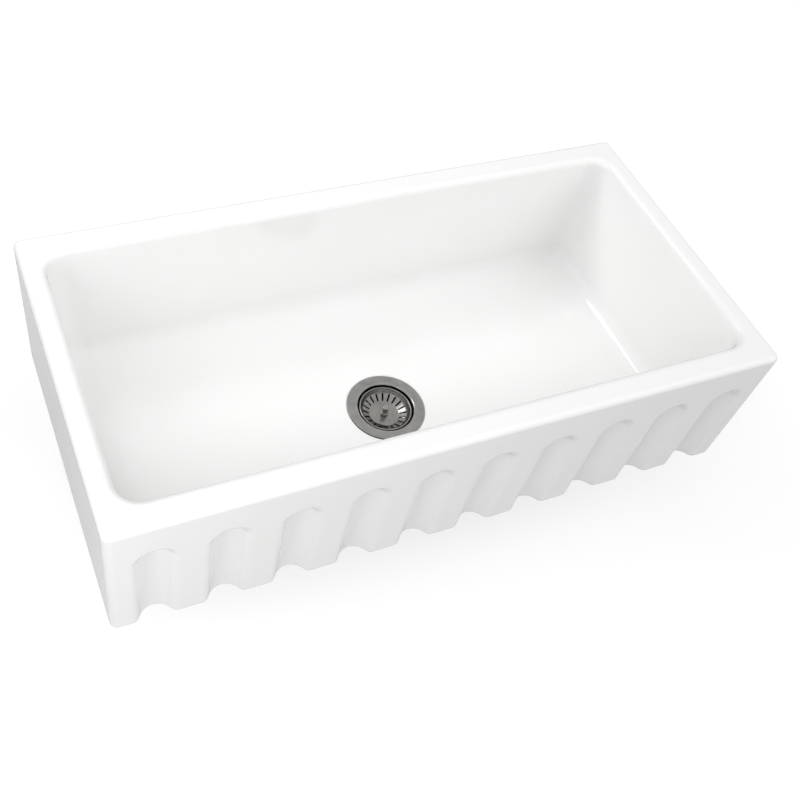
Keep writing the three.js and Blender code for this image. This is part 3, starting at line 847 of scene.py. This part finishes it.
past_the_rim = bowl_rim + 20 * MM
basket_steel = ringed_steel(
    "polished_stainless_basket", "#9a9996", "#777673", past_the_rim, 0.27, 0.27
)
slotted_bowl = finished(
    combined("DIFFERENCE", bowl_mesh, slot_cutters()), "slotted_bowl", basket_steel
)
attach(slotted_bowl, "basket")
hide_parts("basket_bowl")


# ---- Basket's knob, stem and stopper ---------------------------------------------------
# A turned steel knob screws onto the stem. Below the bowl the stem carries a nylon sleeve,
# the rubber stopper and a steel washer on its collar.

knob_low, knob_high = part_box("basket_knob")
small_facets = 48
foot_radius = knob_high.x
foot_top = knob_low.z + 5 * MM
grip_radius = 4.6 * MM
bore_top = knob_low.z + 8 * MM
knob_mesh = turned(
    [
        (stem_hole, knob_low.z, 0),
        (foot_radius, knob_low.z, 0.3 * MM),
        (foot_radius, foot_top, 1 * MM),
        (grip_radius, foot_top, 0.5 * MM),
        (grip_radius, knob_high.z, 1.2 * MM),
        (0, knob_high.z, 0),
        (0, bore_top, 0),
        (stem_hole, bore_top, 0),
    ],
    small_facets,
)
stem_low, stem_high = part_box("basket_stem")
stem_radius = 3.2 * MM
collar_radius = stem_high.x
washer_low, washer_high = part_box("stopper_washer")
collar_top = washer_low.z - 0.3 * MM
collar_bottom = collar_top - 2.5 * MM
stem_mesh = turned(
    [
        (0, stem_low.z, 0),
        (stem_radius, stem_low.z, 1.2 * MM),
        (stem_radius, collar_bottom, 0),
        (collar_radius, collar_bottom, 0.4 * MM),
        (collar_radius, collar_top, 0.4 * MM),
        (stem_radius, collar_top, 0),
        (stem_radius, stem_high.z, 0.4 * MM),
        (0, stem_high.z, 0),
    ],
    small_facets,
)
stopper_low, stopper_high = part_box("stopper")
stopper_lip = 1.4 * MM
stopper_mesh = turned(
    [
        (stem_hole, stopper_low.z, 0),
        (stopper_high.x, stopper_low.z, 0.4 * MM),
        (stopper_high.x, stopper_low.z + stopper_lip, 0.4 * MM),
        (stopper_high.x - 2 * stopper_lip, stopper_high.z, 1 * MM),
        (stem_hole, stopper_high.z, 0),
    ]
)
polished_steel = plain_metal("polished_turned_stainless", "#a09e9b", 0.2, 8 * MM, "#8a8885")
nylon = grained("moulded_white_nylon", "#e9e7e0", "#dedbd2", 4 * MM, 0.45, 0.01 * MM)
basket_pieces = (
    ("basket_knob", "grip_knob", knob_mesh, polished_steel, "polished_stainless"),
    ("basket_stem", "shoulder_stem", stem_mesh, polished_steel, "polished_stainless"),
    ("stopper", "rubber_stopper", stopper_mesh, rubber, "black_rubber"),
    (
        "stopper_washer",
        "steel_washer",
        plain_ring("stopper_washer", stem_hole, 0.2 * MM),
        polished_steel,
        "polished_stainless",
    ),
    (
        "stem_sleeve",
        "distance_sleeve",
        plain_ring("stem_sleeve", stem_hole, 0.2 * MM),
        nylon,
        "white_nylon",
    ),
)
for node, name, mesh, material, slot in basket_pieces:
    piece = finished(mesh, name, material)
    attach(piece, "basket")
    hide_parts(node)


# ---- Tailpiece and coupling nut --------------------------------------------------------
# A chromed brass tube, 38 mm outside, hangs by its flange in a ribbed nut that runs on the
# outlet's thread. A nylon washer seals the joint.

tail_low, tail_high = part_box("tailpiece")
tube_radius = 19.05 * MM
tube_bore = 17.75 * MM
tail_flange_bottom = tail_high.z - 1.5 * MM
tail_mesh = turned(
    [
        (tube_bore, tail_low.z, 0.3 * MM),
        (tube_radius, tail_low.z, 0.3 * MM),
        (tube_radius, tail_flange_bottom, 1 * MM),
        (tail_high.x, tail_flange_bottom, crisp),
        (tail_high.x, tail_high.z, crisp),
        (tube_bore, tail_high.z, crisp),
    ]
)
coupling_low, coupling_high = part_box("coupling_nut")
coupling_bore = outlet_thread + thread_clearance
coupling_wall = coupling_bore + 4 * MM
coupling_mouth = tube_radius + thread_clearance
lip_top = tail_flange_bottom - thread_clearance
rib_count = 12
rib_reach = 1.6 * MM
coupling_mesh = turned(
    [
        (coupling_mouth, coupling_low.z, crisp),
        (coupling_wall, coupling_low.z, 1.5 * MM),
        (coupling_wall, coupling_high.z, 1 * MM),
        (coupling_bore, coupling_high.z, crisp),
        (coupling_bore, lip_top, 0),
        (coupling_mouth, lip_top, crisp),
    ]
)
ribs = outward_lugs(
    rib_count,
    coupling_wall - 1.5 * MM,
    coupling_wall + rib_reach,
    2 * rib_reach,
    coupling_low.z + 1 * MM,
    coupling_high.z - 0.5 * MM,
    0.7 * MM,
)
chrome = plain_metal("chromed_brass", "#d3d4d6", 0.08, 20 * MM, "#c9cacc")
waste_pieces = (
    (
        "tailpiece_washer",
        "nylon_washer",
        plain_ring("tailpiece_washer", tube_bore, 0.4 * MM),
        nylon,
        "white_nylon",
    ),
    ("tailpiece", "waste_tube", tail_mesh, chrome, "chromed_brass"),
    (
        "coupling_nut",
        "ribbed_nut",
        combined("UNION", coupling_mesh, ribs),
        chrome,
        "chromed_brass",
    ),
)
for node, name, mesh, material, slot in waste_pieces:
    piece = finished(mesh, name, material)
    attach(piece, "root")
    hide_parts(node)


# ---- Studio ----------------------------------------------------------------------------
# White paper on the floor and a white surround. The light comes from two soft windows, one
# high to the left and one to the front right, with a lamp at the front left corner and one
# behind. The floor keeps the sink's shadow.

floor_z = cad_bounds[0].z - 1 * MM
floor_size = 8.0
paper_tone = "#b4b4b4"
paper_brightness = 0.60
paper_mirror_share = 0.38
floor_mesh = bmesh.new()
bmesh.ops.create_grid(
    floor_mesh,
    x_segments=1,
    y_segments=1,
    size=floor_size,
    matrix=Matrix.Translation((0, 0, floor_z)),
)
paper = new_material("white_paper_floor")
paper_diffuse = add_node(
    paper, "ShaderNodeBsdfDiffuse", values={"Color": linear(paper_tone), "Roughness": 0.0}
)
paper_light = add_node(paper, "ShaderNodeLightPath")
paper_mirrored = add_node(
    paper,
    "ShaderNodeMath",
    values={1: paper_mirror_share},
    links={0: (paper_light, "Is Glossy Ray")},
    operation="MULTIPLY",
)
paper_seen = add_node(
    paper,
    "ShaderNodeMath",
    links={0: (paper_light, "Is Camera Ray"), 1: (paper_mirrored, "Value")},
    operation="MAXIMUM",
)
paper_seen_through = add_node(
    paper,
    "ShaderNodeMath",
    links={0: (paper_seen, "Value"), 1: (paper_light, "Is Transmission Ray")},
    operation="MAXIMUM",
)
paper_share = add_node(
    paper,
    "ShaderNodeMath",
    values={1: paper_brightness},
    links={0: (paper_seen_through, "Value")},
    operation="MULTIPLY",
)
paper_glow = add_node(
    paper,
    "ShaderNodeEmission",
    values={"Color": linear("#ffffff")},
    links={"Strength": (paper_share, "Value")},
)
paper_surface = add_node(
    paper, "ShaderNodeAddShader", links={0: (paper_diffuse, "BSDF"), 1: (paper_glow, "Emission")}
)
add_node(paper, "ShaderNodeOutputMaterial", links={"Surface": (paper_surface, "Shader")})
floor_data = bpy.data.meshes.new("studio_floor")
floor_mesh.to_mesh(floor_data)
floor_mesh.free()
floor_data.materials.append(paper)
studio_floor = bpy.data.objects.new("studio_floor", floor_data)
bpy.context.scene.collection.objects.link(studio_floor)


def softbox(name, place, aim, size, power):
    """A square lamp that faces a point."""
    lamp = bpy.data.lights.new(name, "AREA")
    lamp.shape = "SQUARE"
    lamp.size = size
    lamp.energy = power
    lamp_object = bpy.data.objects.new(name, lamp)
    lamp_object.location = place
    lamp_object.rotation_euler = (Vector(aim) - Vector(place)).to_track_quat("-Z", "Y").to_euler()
    bpy.context.scene.collection.objects.link(lamp_object)


softbox("front_lamp", place=(-0.95, -0.85, 0.60), aim=(0.0, 0.0, 0.15), size=0.7, power=4.6)
softbox("back_lamp", place=(-0.60, 1.00, 1.40), aim=(0.3, 0.0, 0.10), size=0.5, power=6)

surround = bpy.data.worlds.new("white_surround")
bpy.context.scene.world = surround
surround.use_nodes = True
surround.node_tree.nodes.clear()
sky_place = add_node(surround, "ShaderNodeTexCoord")


def sky_window(direction, dim, bright):
    """A round soft window in the surround, bright within 18 degrees and dim beyond 45. Both
    limits are given as cosines."""
    core, edge = 0.95, 0.7
    towards = add_node(
        surround,
        "ShaderNodeVectorMath",
        values={1: direction},
        links={0: (sky_place, "Generated")},
        operation="DOT_PRODUCT",
    )
    return add_node(
        surround,
        "ShaderNodeMapRange",
        values={"From Min": edge, "From Max": core, "To Min": dim, "To Max": bright},
        links={"Value": (towards, "Value")},
        interpolation_type="SMOOTHSTEP",
    )


right_window = sky_window((0.542, -0.542, 0.643), dim=0.18, bright=1.80)
left_window = sky_window((-0.574, 0.0, 0.819), dim=0.0, bright=1.27)
sky_light = add_node(
    surround,
    "ShaderNodeMath",
    links={0: (right_window, "Result"), 1: (left_window, "Result")},
    operation="ADD",
)
sky_path = add_node(surround, "ShaderNodeLightPath")
sky_seen = add_node(
    surround,
    "ShaderNodeMath",
    links={0: (sky_path, "Is Camera Ray"), 1: (sky_path, "Is Glossy Ray")},
    operation="MAXIMUM",
)
sky_seen_through = add_node(
    surround,
    "ShaderNodeMath",
    links={0: (sky_seen, "Value"), 1: (sky_path, "Is Transmission Ray")},
    operation="MAXIMUM",
)
sky_strength = add_node(
    surround,
    "ShaderNodeMix",
    values={3: 1.0},
    links={0: (sky_seen_through, "Value"), 2: (sky_light, "Value")},
    data_type="FLOAT",
)
sky = add_node(
    surround,
    "ShaderNodeBackground",
    values={"Color": linear("#ffffff")},
    links={"Strength": (sky_strength, 0)},
)
add_node(surround, "ShaderNodeOutputWorld", links={"Surface": (sky, "Background")})
bpy.context.scene.view_settings.view_transform = "Standard"
